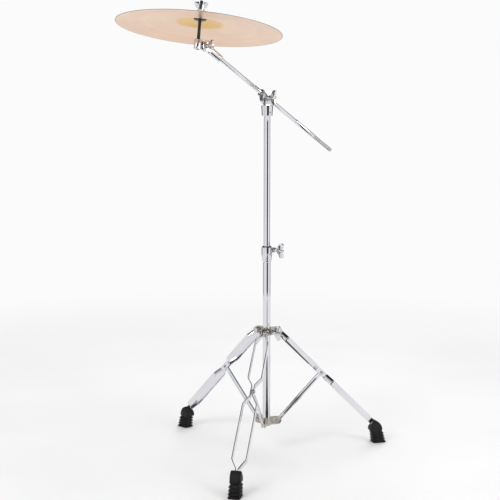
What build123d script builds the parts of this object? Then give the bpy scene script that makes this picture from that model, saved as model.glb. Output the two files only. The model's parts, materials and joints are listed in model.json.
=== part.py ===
from build123d import *

import os
from math import cos, radians, sin, sqrt

# Crash cymbal on a double-braced boom stand.
#
# Millimetres, +Z up, floor at Z = 0. The stand stands open, as in use, with the boom reaching
# to the left and towards the front (-X, -Y). Every fitting is placed from the mast's axis.

os.makedirs("parts", exist_ok=True)

# ---------------------------------------------------------------- driving dimensions
# The mast's axis stands off the origin, which is the middle of the whole object's footprint.
MAST_X = 20.436
MAST_Y = 43.301

# Tubes
BASE_TUBE_D = 20.0
BASE_TUBE_BORE = 17.6
MAST_TUBE_D = 17.0
MAST_TUBE_BORE = 14.6
BOOM_D = 11.0
BOOM_BORE = 8.6
KNURL_D = 9.5
STEM_D = 8.0

# Tripod: a brace is as long as the leg above its rivet, and both hub pivots are equally far
# out, so the upper hub stays level and slides straight along the tube.
LEG_AZIMUTHS = {"right": 15.9, "left": 135.9, "front": 255.9}
PIVOT_R = 30.5
LOWER_PIVOT_Z = 84.5
BRACE_LENGTH = 171.0
LEG_LEAN = 45.0
LEG_LENGTH = 404.0
STRIP_WIDTH = 14.5
STRIP_T = 2.0
BRACE_WIDTH = 12.0
BRACE_T = 4.4
SIDE_GAP = 0.3
EAR_R = 10.0
EAR_T = 1.8
EAR_GAP = BRACE_T + 2 * SIDE_GAP
HUB_WALL = 2.0
FOOT_LENGTH = 38.0
FOOT_WIDTH = 31.0
FOOT_RADIUS = 319.0
FOOT_BLOCK_WIDTH = 27.0
FINS = 4
FIN_PITCH = 8.0
FIN_RISE = 6.8
FIN_DEPTH = 9.5
FIN_TAPER = 1.3
FIN_LEAN = 1.5

# Pins and screws
RUNNING = 0.05
BOLT_D = 8.0
RIVET_D = 6.0
HEX_AF = 14.0
HEX_H = 5.0

# Height collar and mast
COLLAR_BOTTOM = 508.0
COLLAR_TOP = 547.5
COLLAR_D_TOP = 28.5
COLLAR_D_BOTTOM = 24.5
COLLAR_SLOT_Z = 529.0
COLLAR_LUG_AZIMUTH = 44.0
COLLAR_BOLT_R = 19.0
COLLAR_BOLT_D = 6.5
COLLAR_NUT_AF = 11.0
BASE_TUBE_TOP = 524.0
MAST_BOTTOM = 345.0
SOCKET_BOTTOM = 881.0
SOCKET_TOP = 907.5
SOCKET_D_TOP = 31.5
SOCKET_D_BOTTOM = 28.0
MAST_PIN_Z = 889.5

# Boom: its hinge is square to its vertical plane, and the boom lies beside the mast.
TILT_Z = 926.0
HINGE_AZIMUTH = -60.0
BOOM_RISE = 34.7
BOOM_SIDE = 18.0
BOOM_ABOVE_HINGE = 6.9
BOOM_FRONT_END = 183.0
BOOM_KNURL = -181.5
BOOM_REAR_END = -248.0
BOOM_GROOVES = (40.5, -111.0)
RATCHET_D = 35.0
RATCHET_T = 8.0
RATCHET_GAP = 0.7
BARREL_D = 20.0
BARREL_LENGTH = 30.0
BUSH_WALL = 1.5

# Tilter on the boom's front end, and the stem that carries the cymbal
TILTER_SOCKET = 154.5
TILTER_PIVOT = 203.5
TILTER_DISC_D = 27.0
TILTER_DISC_T = 7.0
STEM_LEAN_X = 0.087
STEM_LEAN_Y = 0.117
STEM_OUT = 24.0
HOLDER_D = 19.0
HOLDER_HEIGHT = 24.0
TILTER_RISE = 2.5
RIM_ABOVE_PIVOT = 35.8

# Cymbal, measured up its own axis from the plane of its rim
CYMBAL_R = 203.2
CYMBAL_HEIGHT = 36.0
CYMBAL_T = 1.1
BELL_R = 58.0
BELL_BASE = 16.0
HOLE_R = 5.6
CUP_D = 31.5
CUP_BASE = 21.5
CUP_T = 2.2
FELT_D = 26.0
UPPER_FELT_T = 10.0
SLEEVE_R = 5.2
STEM_TOP = 70.0

# Wing screws: a tapering boss and two wings
WING_LENGTH = 34.0
WING_SPAN = 39.0
WING_T = 4.6

UP = Vector(0, 0, 1)
MAST = Vector(MAST_X, MAST_Y, 0)


def heading(azimuth):
    """Level unit vector at an angle from +X."""
    return Vector(cos(radians(azimuth)), sin(radians(azimuth)), 0)


def save(piece, name):
    """Label one finished piece and write its STEP file."""
    piece.label = name
    export_step(piece, f"parts/{name}.step")


def level_plane(z):
    """Level plane at height z, centred on the mast."""
    return Plane(origin=MAST + UP * z, x_dir=(1, 0, 0), z_dir=(0, 0, 1))


# ---------------------------------------------------------------- tripod frame
class LegFrame:
    """Directions and pivots of one leg: out from the mast, and square to that."""

    def __init__(self, azimuth):
        lean = radians(LEG_LEAN)
        self.out = heading(azimuth)
        self.side = heading(azimuth + 90)
        self.down = self.out * sin(lean) - UP * cos(lean)
        self.lower = MAST + self.out * PIVOT_R + UP * LOWER_PIVOT_Z
        self.knee = self.lower + self.out * (BRACE_LENGTH * sin(lean)) + UP * (BRACE_LENGTH * cos(lean))
        self.upper = self.lower + UP * (2 * BRACE_LENGTH * cos(lean))
        self.radial_plane = Plane(origin=MAST, x_dir=self.out, z_dir=self.side * -1)

    def across(self, point, offset=0.0):
        """Plane square to the leg's pivots, through a point moved sideways."""
        return Plane(origin=point + self.side * offset, x_dir=self.out, z_dir=self.side)


LEGS = {name: LegFrame(azimuth) for name, azimuth in LEG_AZIMUTHS.items()}
UPPER_PIVOT_Z = LEGS["right"].upper.Z
HUB_SCREW_AZIMUTH = LEG_AZIMUTHS["right"] - 60
EAR_OUTSIDE = EAR_GAP / 2 + EAR_T


def hub_bracket(pivot_z, bore_r, boss_azimuth=None):
    """Three-way pressed bracket: a ring about the tube and three forked ears."""
    ring_r = BASE_TUBE_D / 2 + HUB_WALL + 0.3
    with BuildPart() as bracket:
        with BuildSketch(level_plane(pivot_z - EAR_R)):
            Circle(ring_r)
        extrude(amount=2 * EAR_R)
        for leg in LEGS.values():
            for offset in (-EAR_OUTSIDE, EAR_GAP / 2):
                with BuildSketch(leg.radial_plane.offset(offset)):
                    with Locations((PIVOT_R / 2, pivot_z)):
                        Rectangle(PIVOT_R, 2 * EAR_R)
                    with Locations((PIVOT_R, pivot_z)):
                        Circle(EAR_R)
                extrude(amount=EAR_T)
            # a shallow pressed panel inside each ear's border
            for offset, amount in ((EAR_OUTSIDE - 0.4, 1), (-EAR_OUTSIDE + 0.4, -1)):
                with BuildSketch(leg.radial_plane.offset(offset)):
                    with Locations(((ring_r + PIVOT_R) / 2 + 2, pivot_z)):
                        Rectangle(PIVOT_R - ring_r - 4, 2 * EAR_R - 4)
                    with Locations((PIVOT_R, pivot_z)):
                        Circle(EAR_R - 2)
                extrude(amount=amount, mode=Mode.SUBTRACT)
        if boss_azimuth is not None:
            boss = heading(boss_azimuth)
            seat = Plane(origin=MAST + UP * pivot_z + boss * 9, x_dir=boss.cross(UP), z_dir=boss)
            with BuildSketch(seat):
                RectangleRounded(15, 15, 3)
            extrude(amount=11)
            with Locations(seat):
                Cylinder(BOLT_D / 2 + RUNNING, 60, mode=Mode.SUBTRACT)
        with BuildSketch(level_plane(pivot_z - EAR_R)):
            Circle(bore_r)
        extrude(amount=2 * EAR_R, mode=Mode.SUBTRACT)
        for leg in LEGS.values():
            pin_r = BOLT_D / 2 if boss_azimuth is not None else RIVET_D / 2
            with Locations(leg.across(MAST + leg.out * PIVOT_R + UP * pivot_z)):
                Cylinder(pin_r, 4 * EAR_OUTSIDE, mode=Mode.SUBTRACT)
    return bracket.part


lower_hub = hub_bracket(LOWER_PIVOT_Z, BASE_TUBE_D / 2)
save(lower_hub, "lower_hub")
upper_hub = hub_bracket(UPPER_PIVOT_Z, BASE_TUBE_D / 2 + 0.3, HUB_SCREW_AZIMUTH)
save(upper_hub, "upper_hub")

with BuildPart() as base_tube:
    with BuildSketch(level_plane(LOWER_PIVOT_Z - EAR_R + 1)):
        Circle(BASE_TUBE_D / 2)
        Circle(BASE_TUBE_BORE / 2, mode=Mode.SUBTRACT)
    extrude(amount=BASE_TUBE_TOP - (LOWER_PIVOT_Z - EAR_R + 1))
save(base_tube.part, "base_tube")


def tube_rivet(leg, centre, reach):
    """Hollow rivet square to a leg, with a low domed head on each side at reach."""
    head_r = RIVET_D / 2 + 1.8
    head_h = 1.6
    with BuildPart() as rivet:
        with BuildSketch(leg.across(centre, -reach)):
            Circle(RIVET_D / 2)
        extrude(amount=2 * reach)
        for offset, amount in ((reach, head_h), (-reach, -head_h)):
            with BuildSketch(leg.across(centre, offset)):
                Circle(head_r)
            extrude(amount=amount, taper=30)
        with Locations(leg.across(centre)):
            Cylinder(RIVET_D / 2 - 1.2, 3 * reach, mode=Mode.SUBTRACT)
    return rivet.part


with BuildPart() as lower_hub_rivets:
    for leg in LEGS.values():
        add(tube_rivet(leg, leg.lower, EAR_OUTSIDE))
save(lower_hub_rivets.part, "lower_hub_rivets")


# ---------------------------------------------------------------- legs, braces and feet
STRIP_OUTSIDE = EAR_OUTSIDE + SIDE_GAP + STRIP_T
KNEE_OUTSIDE = BRACE_T / 2 + SIDE_GAP + STRIP_T
SPREAD = 16.0
TOP_BEND, TOP_BEND_END = 10.0, 29.0
KNEE_BEND, KNEE_BEND_END = 135.0, 154.0
SHIN_BEND, SHIN_BEND_END = 186.0, 208.0
FOOT_BEND, FOOT_BEND_END = 355.0, 379.0
FOOT_INSIDE = 2.0
BEND_R = 6.0


def leg_strip(leg, hand):
    """One of a leg's two flat strips, joggled in at the hub, at the knee and at the foot."""
    hub_in = EAR_OUTSIDE + SIDE_GAP
    knee_in = BRACE_T / 2 + SIDE_GAP
    route = [
        (-STRIP_WIDTH / 2, hub_in),
        (TOP_BEND, hub_in),
        (TOP_BEND_END, SPREAD),
        (KNEE_BEND, SPREAD),
        (KNEE_BEND_END, knee_in),
        (SHIN_BEND, knee_in),
        (SHIN_BEND_END, SPREAD + 0.5),
        (FOOT_BEND, SPREAD + 0.5),
        (FOOT_BEND_END, FOOT_INSIDE),
        (LEG_LENGTH, FOOT_INSIDE),
    ]
    flat = Plane(origin=leg.upper, x_dir=leg.down, z_dir=leg.down.cross(leg.side))
    with BuildPart() as strip:
        with BuildSketch(flat):
            with BuildLine():
                FilletPolyline(*[(s, hand * h) for s, h in route], radius=BEND_R)
                offset(amount=STRIP_T, side=Side.LEFT if hand > 0 else Side.RIGHT)
            make_face()
        extrude(amount=STRIP_WIDTH / 2, both=True)
        # the hub end is round
        with BuildSketch(Plane(origin=leg.upper - leg.side * 40, x_dir=leg.down, z_dir=leg.side)):
            Circle(STRIP_WIDTH / 2)
            with Locations((LEG_LENGTH / 2, 0)):
                Rectangle(LEG_LENGTH, STRIP_WIDTH)
        extrude(amount=80, mode=Mode.INTERSECT)
        with Locations(leg.across(leg.upper)):
            Cylinder(BOLT_D / 2 + RUNNING, 4 * STRIP_OUTSIDE, mode=Mode.SUBTRACT)
        with Locations(leg.across(leg.knee)):
            Cylinder(RIVET_D / 2, 4 * STRIP_OUTSIDE, mode=Mode.SUBTRACT)
    return strip.part


def brace_bar(leg):
    """Flat bar from the lower hub to the knee, with round ends and a pressed rib groove."""
    along = (leg.knee - leg.lower).normalized()
    face = Plane(origin=leg.lower, x_dir=along, z_dir=leg.side)
    with BuildPart() as bar:
        with BuildSketch(face.offset(-BRACE_T / 2)):
            with Locations((BRACE_LENGTH / 2, 0)):
                SlotCenterToCenter(BRACE_LENGTH, BRACE_WIDTH)
        extrude(amount=BRACE_T)
        chamfer(bar.edges().filter_by(GeomType.LINE).filter_by(Axis(leg.lower, along)), 0.7)
        for offset_side, amount in ((BRACE_T / 2 - 0.8, 1), (-BRACE_T / 2 + 0.8, -1)):
            with BuildSketch(face.offset(offset_side)):
                with Locations((BRACE_LENGTH / 2, 0)):
                    SlotOverall(BRACE_LENGTH - 44, 4.5)
            extrude(amount=amount, mode=Mode.SUBTRACT)
        for end in (leg.lower, leg.knee):
            with Locations(leg.across(end)):
                Cylinder(RIVET_D / 2 + RUNNING, 2 * BRACE_T, mode=Mode.SUBTRACT)
    return bar.part


def rubber_foot(leg):
    """Rubber boot: a block about the leg's end over four flaring fins and a flat sole."""
    heel = MAST + leg.out * FOOT_RADIUS
    axes = {"x_dir": leg.out, "z_dir": (0, 0, 1)}
    with BuildPart() as foot:
        # waist that the fins stand out of, leaning in as it goes up
        for level, shift, length, width in ((0, 0, 27, 21), (28, -6, 25, 20), (40, -12, 24, 24)):
            with BuildSketch(Plane(origin=heel + leg.out * shift + UP * level, **axes)):
                RectangleRounded(length, width, 5)
        loft()
        for fin in range(FINS):
            z = fin * FIN_PITCH
            centre = heel - leg.out * (FIN_LEAN * fin)
            with BuildSketch(Plane(origin=centre + UP * z, **axes)):
                RectangleRounded(FOOT_LENGTH - FIN_TAPER * fin, FOOT_WIDTH - FIN_LEAN, 5)
            with BuildSketch(Plane(origin=centre + UP * (z + FIN_RISE), **axes)):
                RectangleRounded(FOOT_LENGTH - FIN_TAPER * fin - FIN_DEPTH, FOOT_WIDTH - FIN_DEPTH, 4)
            loft()
        # upper block, cut square to the leg
        with BuildSketch(leg.radial_plane.offset(-FOOT_BLOCK_WIDTH / 2)):
            with BuildLine():
                Polyline((292, 32), (292.5, 42), (308.5, 60))
                ThreePointArc((308.5, 60), (323.5, 48.5), (328, 32))
                Line((328, 32), (292, 32))
            make_face()
        extrude(amount=FOOT_BLOCK_WIDTH)
        # pocket for the leg's two strips
        end = leg.upper + leg.down * (LEG_LENGTH + 0.5)
        pocket = Plane(origin=end, x_dir=leg.side, z_dir=leg.down * -1)
        with BuildSketch(pocket):
            Rectangle(2 * (FOOT_INSIDE + STRIP_T) + 0.1, STRIP_WIDTH + 0.1)
        extrude(amount=60, mode=Mode.SUBTRACT)
    return foot.part


for name, leg in LEGS.items():
    save(leg_strip(leg, 1), f"leg_{name}_strip_a")
    save(leg_strip(leg, -1), f"leg_{name}_strip_b")
    save(tube_rivet(leg, leg.knee, KNEE_OUTSIDE), f"knee_rivet_{name}")
    save(brace_bar(leg), f"brace_{name}")
    save(rubber_foot(leg), f"foot_{name}")

# Bolts through the upper hub: head on one side, nut on the other, spacer inside the fork
with BuildPart() as hub_bolts:
    for leg in LEGS.values():
        with BuildSketch(leg.across(leg.upper, -STRIP_OUTSIDE - HEX_H - 1.5)):
            Circle(BOLT_D / 2)
        extrude(amount=2 * STRIP_OUTSIDE + HEX_H + 1.6 + 0.5)
        with BuildSketch(leg.across(leg.upper, STRIP_OUTSIDE + 0.1)):
            RegularPolygon(HEX_AF / 2, 6, major_radius=False)
        extrude(amount=HEX_H)
save(hub_bolts.part, "hub_bolts")

with BuildPart() as hub_nuts:
    for leg in LEGS.values():
        with BuildSketch(leg.across(leg.upper, -STRIP_OUTSIDE - 0.1)):
            RegularPolygon(HEX_AF / 2, 6, major_radius=False)
            Circle(BOLT_D / 2, mode=Mode.SUBTRACT)
        extrude(amount=-HEX_H)
save(hub_nuts.part, "hub_nuts")

with BuildPart() as hub_spacers:
    for leg in LEGS.values():
        with BuildSketch(leg.across(leg.upper, -EAR_GAP / 2)):
            Circle(BOLT_D / 2 + 2)
            Circle(BOLT_D / 2, mode=Mode.SUBTRACT)
        extrude(amount=EAR_GAP)
save(hub_spacers.part, "hub_spacers")


# ---------------------------------------------------------------- wing screws
def wing_head(seat, length, span, shank_d, shank_back):
    """Wing head with its boss on seat, wings up and down, and a shank behind the seat."""
    boss_r = 0.6 * shank_d + 1.2
    nose = length
    half = span / 2
    wing_plane = Plane(origin=seat.origin, x_dir=seat.z_dir, z_dir=seat.x_dir)
    with BuildPart() as head:
        with BuildSketch(wing_plane):
            with BuildLine():
                Polyline((0, 0), (0, boss_r + 1), (2.5, boss_r + 1), (3.5, boss_r),
                         (0.8 * nose, 0.75 * boss_r), (0.93 * nose, 0.6 * boss_r),
                         (nose, 0.3 * boss_r), (nose, 0), close=True)
            make_face()
        revolve(axis=Axis(seat.origin, seat.z_dir))
        for hand in (1, -1):
            with BuildSketch(wing_plane) as wing:
                Polygon(
                    (0.30 * nose, hand * 0.3 * boss_r),
                    (0.34 * nose, hand * 1.05 * boss_r),
                    (0.62 * nose, hand * half * 0.96),
                    (0.80 * nose, hand * half),
                    (0.96 * nose, hand * half * 0.80),
                    (0.84 * nose, hand * 0.3 * boss_r),
                    align=None,
                )
                outer = wing.vertices().sort_by(Axis.Y if hand > 0 else -Axis.Y)[-3:]
                fillet(outer, 0.06 * span)
            extrude(amount=WING_T / 2, both=True)
        if shank_back > 0:
            with BuildSketch(seat):
                Circle(shank_d / 2)
            extrude(amount=-shank_back)
    return head.part


# Upper hub's locking screw: its tip stops just short of the tube
screw_out = heading(HUB_SCREW_AZIMUTH)
screw_seat = Plane(origin=MAST + UP * UPPER_PIVOT_Z + screw_out * 20.5,
                   x_dir=UP.cross(screw_out), z_dir=screw_out)
save(wing_head(screw_seat, WING_LENGTH - 5, WING_SPAN, BOLT_D, 20.5 - BASE_TUBE_D / 2 - 0.4),
     "hub_wing_screw")

# ---------------------------------------------------------------- height collar
lug_out = heading(COLLAR_LUG_AZIMUTH)
bolt_out = heading(COLLAR_LUG_AZIMUTH - 90)
COLLAR_BOLT_Z = (COLLAR_TOP + COLLAR_SLOT_Z) / 2
LUG_T = 7.0
LUG_SLIT = 2.4
bolt_centre = MAST + lug_out * COLLAR_BOLT_R + UP * COLLAR_BOLT_Z
bolt_seat = Plane(origin=bolt_centre, x_dir=UP.cross(bolt_out), z_dir=bolt_out)
with BuildPart() as height_collar:
    with BuildSketch(Plane(origin=MAST, x_dir=(1, 0, 0), z_dir=(0, -1, 0))):
        with BuildLine():
            Polyline(
                (BASE_TUBE_D / 2, COLLAR_BOTTOM),
                (BASE_TUBE_D / 2 + 0.6, COLLAR_BOTTOM),
                (COLLAR_D_BOTTOM / 2, COLLAR_BOTTOM + 2.5),
                (COLLAR_D_TOP / 2, COLLAR_SLOT_Z),
                (COLLAR_D_TOP / 2, COLLAR_TOP - 1),
                (COLLAR_D_TOP / 2 - 1, COLLAR_TOP),
                (BASE_TUBE_D / 2, COLLAR_TOP),
                close=True,
            )
        make_face()
    revolve(axis=Axis(MAST, (0, 0, 1)))
    lug_plane = Plane(origin=MAST + UP * COLLAR_BOLT_Z, x_dir=lug_out, z_dir=bolt_out)
    with BuildSketch(lug_plane.offset(-LUG_T - LUG_SLIT / 2)):
        with Locations((COLLAR_BOLT_R / 2 + 6, 0)):
            Rectangle(COLLAR_BOLT_R - 12, 15)
        with Locations((COLLAR_BOLT_R, 0)):
            Circle(7.5)
    extrude(amount=2 * LUG_T + LUG_SLIT)
    # vertical slit through the lugs and one wall, and the level slot that frees the band
    with BuildSketch(Plane(origin=MAST + UP * (COLLAR_SLOT_Z - 0.75), x_dir=lug_out, z_dir=(0, 0, 1))):
        with Locations((20, 0)):
            Rectangle(40, LUG_SLIT)
    extrude(amount=COLLAR_TOP - COLLAR_SLOT_Z + 2, mode=Mode.SUBTRACT)
    with BuildSketch(Plane(origin=MAST + UP * (COLLAR_SLOT_Z - 0.75), x_dir=lug_out, z_dir=(0, 0, 1))):
        with Locations((16 - 4, 0)):
            Rectangle(32, 60)
    extrude(amount=1.5, mode=Mode.SUBTRACT)
    with Locations(Plane(origin=MAST + UP * COLLAR_TOP)):
        Cylinder(BASE_TUBE_D / 2, 2 * (COLLAR_TOP - COLLAR_BOTTOM) + 10, mode=Mode.SUBTRACT)
    with Locations(bolt_seat):
        Cylinder(COLLAR_BOLT_D / 2 + RUNNING, 60, mode=Mode.SUBTRACT)
save(height_collar.part, "height_collar")

LUG_FACE = LUG_T + LUG_SLIT / 2
with BuildPart() as collar_nut:
    with BuildSketch(bolt_seat.offset(-LUG_FACE)):
        RegularPolygon(COLLAR_NUT_AF / 2, 6, major_radius=False)
        Circle(COLLAR_BOLT_D / 2 + RUNNING, mode=Mode.SUBTRACT)
    extrude(amount=-HEX_H)
save(collar_nut.part, "collar_nut")

save(wing_head(bolt_seat.offset(LUG_FACE + 0.4), WING_LENGTH, WING_SPAN, COLLAR_BOLT_D,
               2 * LUG_FACE + HEX_H + 2.5), "collar_wing_bolt")

with BuildPart() as collar_bush:
    with BuildSketch(level_plane(BASE_TUBE_TOP + 0.4)):
        Circle(BASE_TUBE_D / 2 - RUNNING)
    extrude(amount=COLLAR_TOP + 0.3 - BASE_TUBE_TOP - 0.4)
    with BuildSketch(level_plane(COLLAR_TOP + 0.3)):
        Circle(BASE_TUBE_D / 2 + 2)
    extrude(amount=1.4)
    with Locations(level_plane(COLLAR_TOP)):
        Cylinder(MAST_TUBE_D / 2 + RUNNING, 80, mode=Mode.SUBTRACT)
    # the bush is split down one side so that the collar can squeeze it
    with BuildSketch(Plane(origin=MAST + UP * (BASE_TUBE_TOP - 5), x_dir=lug_out, z_dir=(0, 0, 1))):
        with Locations((10, 0)):
            Rectangle(20, 1.2)
    extrude(amount=40, mode=Mode.SUBTRACT)
save(collar_bush.part, "collar_bush")

# ---------------------------------------------------------------- mast
MAST_TUBE_TOP = SOCKET_TOP - 2.5
with BuildPart() as mast_tube:
    with BuildSketch(level_plane(MAST_BOTTOM)):
        Circle(MAST_TUBE_D / 2)
        Circle(MAST_TUBE_BORE / 2, mode=Mode.SUBTRACT)
    extrude(amount=MAST_TUBE_TOP - MAST_BOTTOM)
    with Locations(Plane(origin=MAST + UP * MAST_PIN_Z, z_dir=heading(HINGE_AZIMUTH))):
        Cylinder(2.5, 60, mode=Mode.SUBTRACT)
save(mast_tube.part, "mast_tube")

hinge_out = heading(HINGE_AZIMUTH)
boom_level = heading(HINGE_AZIMUTH - 90)
boom_dir = boom_level * cos(radians(BOOM_RISE)) + UP * sin(radians(BOOM_RISE))
boom_up = UP * cos(radians(BOOM_RISE)) - boom_level * sin(radians(BOOM_RISE))
hinge = MAST + UP * TILT_Z
# Hinge planes: local +Z along the hinge, out to the wing nut's side
hinge_plane = Plane(origin=hinge, x_dir=boom_level * -1, z_dir=hinge_out)
TEETH = 40


def ratchet_notches(plane, radius, teeth):
    """Radial notches about the rim of a ratchet face, cut where they stand."""
    with Locations(plane):
        with PolarLocations(radius, teeth):
            Box(3.4, 0.9, 1.6, rotation=(0, 0, 0), mode=Mode.SUBTRACT)


with BuildPart() as mast_socket:
    with BuildSketch(Plane(origin=MAST, x_dir=(1, 0, 0), z_dir=(0, -1, 0))):
        with BuildLine():
            Polyline(
                (0, SOCKET_BOTTOM),
                (SOCKET_D_BOTTOM / 2 - 1, SOCKET_BOTTOM),
                (SOCKET_D_BOTTOM / 2, SOCKET_BOTTOM + 1),
                (SOCKET_D_TOP / 2, SOCKET_TOP - 1.2),
                (SOCKET_D_TOP / 2 - 1.2, SOCKET_TOP),
                (0, SOCKET_TOP),
                close=True,
            )
        make_face()
    revolve(axis=Axis(MAST, (0, 0, 1)))
    # ear with the fixed half of the ratchet
    with BuildSketch(hinge_plane.offset(RATCHET_GAP / 2)):
        Circle(RATCHET_D / 2)
        with Locations((0, -RATCHET_D / 2)):
            Rectangle(22, 12)
    extrude(amount=RATCHET_T)
    with Locations(hinge_plane):
        Cylinder(BOLT_D / 2 + RUNNING, 60, mode=Mode.SUBTRACT)
    ratchet_notches(hinge_plane.offset(RATCHET_GAP / 2), RATCHET_D / 2 - 0.9, TEETH)
    with Locations(level_plane((SOCKET_BOTTOM + MAST_TUBE_TOP) / 2)):
        Cylinder(MAST_TUBE_D / 2, MAST_TUBE_TOP - SOCKET_BOTTOM, mode=Mode.SUBTRACT)
    with Locations(Plane(origin=MAST + UP * MAST_PIN_Z, z_dir=hinge_out)):
        Cylinder(2.5, 60, mode=Mode.SUBTRACT)
save(mast_socket.part, "mast_socket")

with BuildPart() as mast_pin:
    pin_reach = SOCKET_D_BOTTOM / 2 - 0.6
    with BuildSketch(Plane(origin=MAST + UP * MAST_PIN_Z - hinge_out * pin_reach, z_dir=hinge_out)):
        Circle(2.5)
        Circle(1.5, mode=Mode.SUBTRACT)
    extrude(amount=2 * pin_reach)
save(mast_pin.part, "mast_pin")

# ---------------------------------------------------------------- boom clamp
boom_origin = hinge - hinge_out * BOOM_SIDE + boom_up * BOOM_ABOVE_HINGE


def boom_plane(distance):
    """Plane square to the boom, at a distance along it from the clamp."""
    return Plane(origin=boom_origin + boom_dir * distance, x_dir=hinge_out, z_dir=boom_dir)


BUSH_D = BOOM_D + 2 * RUNNING + 2 * BUSH_WALL
HEAD_T = 3.0
with BuildPart() as boom_clamp:
    with BuildSketch(boom_plane(-BARREL_LENGTH / 2)):
        Circle(BARREL_D / 2)
    extrude(amount=BARREL_LENGTH)
    chamfer(boom_clamp.edges().filter_by(GeomType.CIRCLE), 1)
    with BuildSketch(hinge_plane.offset(-RATCHET_GAP / 2)):
        Circle(RATCHET_D / 2)
    extrude(amount=-RATCHET_T)
    # web that carries the barrel on the disc
    with BuildSketch(Plane(origin=hinge, x_dir=boom_dir, z_dir=hinge_out).offset(-RATCHET_T)):
        with Locations((0, -BOOM_ABOVE_HINGE / 2)):
            Rectangle(BARREL_LENGTH - 4, 16)
    extrude(amount=-(BOOM_SIDE - RATCHET_T))
    with BuildSketch(boom_plane(-BARREL_LENGTH)):
        Circle(BUSH_D / 2 + RUNNING)
    extrude(amount=2 * BARREL_LENGTH, mode=Mode.SUBTRACT)
    with BuildSketch(hinge_plane):
        Circle(BOLT_D / 2)
    extrude(amount=-RATCHET_T + 1, mode=Mode.SUBTRACT)
    ratchet_notches(hinge_plane.offset(-RATCHET_GAP / 2), RATCHET_D / 2 - 0.9, TEETH)
save(boom_clamp.part, "boom_clamp")

EAR_FACE = RATCHET_GAP / 2 + RATCHET_T
with BuildPart() as boom_hinge_bolt:
    with BuildSketch(hinge_plane.offset(-RATCHET_T + 1)):
        Circle(BOLT_D / 2)
    extrude(amount=RATCHET_T - 1 + EAR_FACE + 16)
save(boom_hinge_bolt.part, "boom_hinge_bolt")

with BuildPart() as hinge_washer:
    with BuildSketch(hinge_plane.offset(EAR_FACE + 0.15)):
        Circle(9)
        Circle(BOLT_D / 2 + RUNNING, mode=Mode.SUBTRACT)
    extrude(amount=1.6)
save(hinge_washer.part, "hinge_washer")


def wing_nut(seat, length, span, bore_d, bore_depth):
    """Wing head with a blind threaded bore in its seat."""
    blank = wing_head(seat, length, span, bore_d, 0)
    with BuildPart() as nut:
        add(blank)
        with BuildSketch(seat):
            Circle(bore_d / 2 + RUNNING)
        extrude(amount=bore_depth, mode=Mode.SUBTRACT)
    return nut.part


nut_plane = Plane(origin=hinge, x_dir=boom_level * -1, z_dir=hinge_out)
save(wing_nut(nut_plane.offset(EAR_FACE + 2.05), WING_LENGTH - 2, WING_SPAN - 2, BOLT_D, 14.5),
     "boom_wing_nut")

with BuildPart() as boom_bush:
    bush_half = BARREL_LENGTH / 2 + 0.3
    with BuildSketch(boom_plane(-bush_half)):
        Circle(BUSH_D / 2)
    extrude(amount=2 * bush_half)
    for start in (bush_half, -bush_half - 1.5):
        with BuildSketch(boom_plane(start)):
            Circle(BUSH_D / 2 + 1.4)
        extrude(amount=1.5)
    with BuildSketch(boom_plane(-BARREL_LENGTH)):
        Circle(BOOM_D / 2 + RUNNING)
        with Locations((-8, 0)):
            Rectangle(16, 1.2)
    extrude(amount=2 * BARREL_LENGTH, mode=Mode.SUBTRACT)
save(boom_bush.part, "boom_bush")

# ---------------------------------------------------------------- boom
SOCKET_PIN_R = 1.6
stem_dir = Vector(STEM_LEAN_X, STEM_LEAN_Y, sqrt(1 - STEM_LEAN_X**2 - STEM_LEAN_Y**2))
tilter_axis = stem_dir.cross(boom_dir).normalized()
socket_pin_plane = Plane(origin=boom_origin + boom_dir * (TILTER_SOCKET + 9), z_dir=tilter_axis)

with BuildPart() as boom_tube:
    with BuildSketch(boom_plane(BOOM_KNURL)):
        Circle(BOOM_D / 2)
    extrude(amount=BOOM_FRONT_END - BOOM_KNURL)
    for groove in BOOM_GROOVES:
        with BuildSketch(Plane(origin=boom_origin, x_dir=boom_dir, z_dir=boom_up)):
            with Locations((groove, BOOM_D / 2 + 0.9)):
                Circle(1.8)
        revolve(axis=Axis(boom_origin, boom_dir), mode=Mode.SUBTRACT)
    with BuildSketch(boom_plane(BOOM_KNURL)):
        Circle(BOOM_BORE / 2)
    extrude(amount=BOOM_FRONT_END - BOOM_KNURL, mode=Mode.SUBTRACT)
    with Locations(socket_pin_plane):
        Cylinder(SOCKET_PIN_R, 60, mode=Mode.SUBTRACT)
save(boom_tube.part, "boom_tube")

with BuildPart() as boom_grip_end:
    with BuildSketch(boom_plane(BOOM_KNURL - 0.01)):
        Circle(KNURL_D / 2)
    extrude(amount=BOOM_REAR_END - BOOM_KNURL)
    chamfer(boom_grip_end.edges().group_by(Axis(boom_origin, boom_dir))[0], 1)
    with BuildSketch(boom_plane(BOOM_KNURL - 0.01)):
        Circle(BOOM_BORE / 2)
    extrude(amount=25)
save(boom_grip_end.part, "boom_grip_end")

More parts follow.
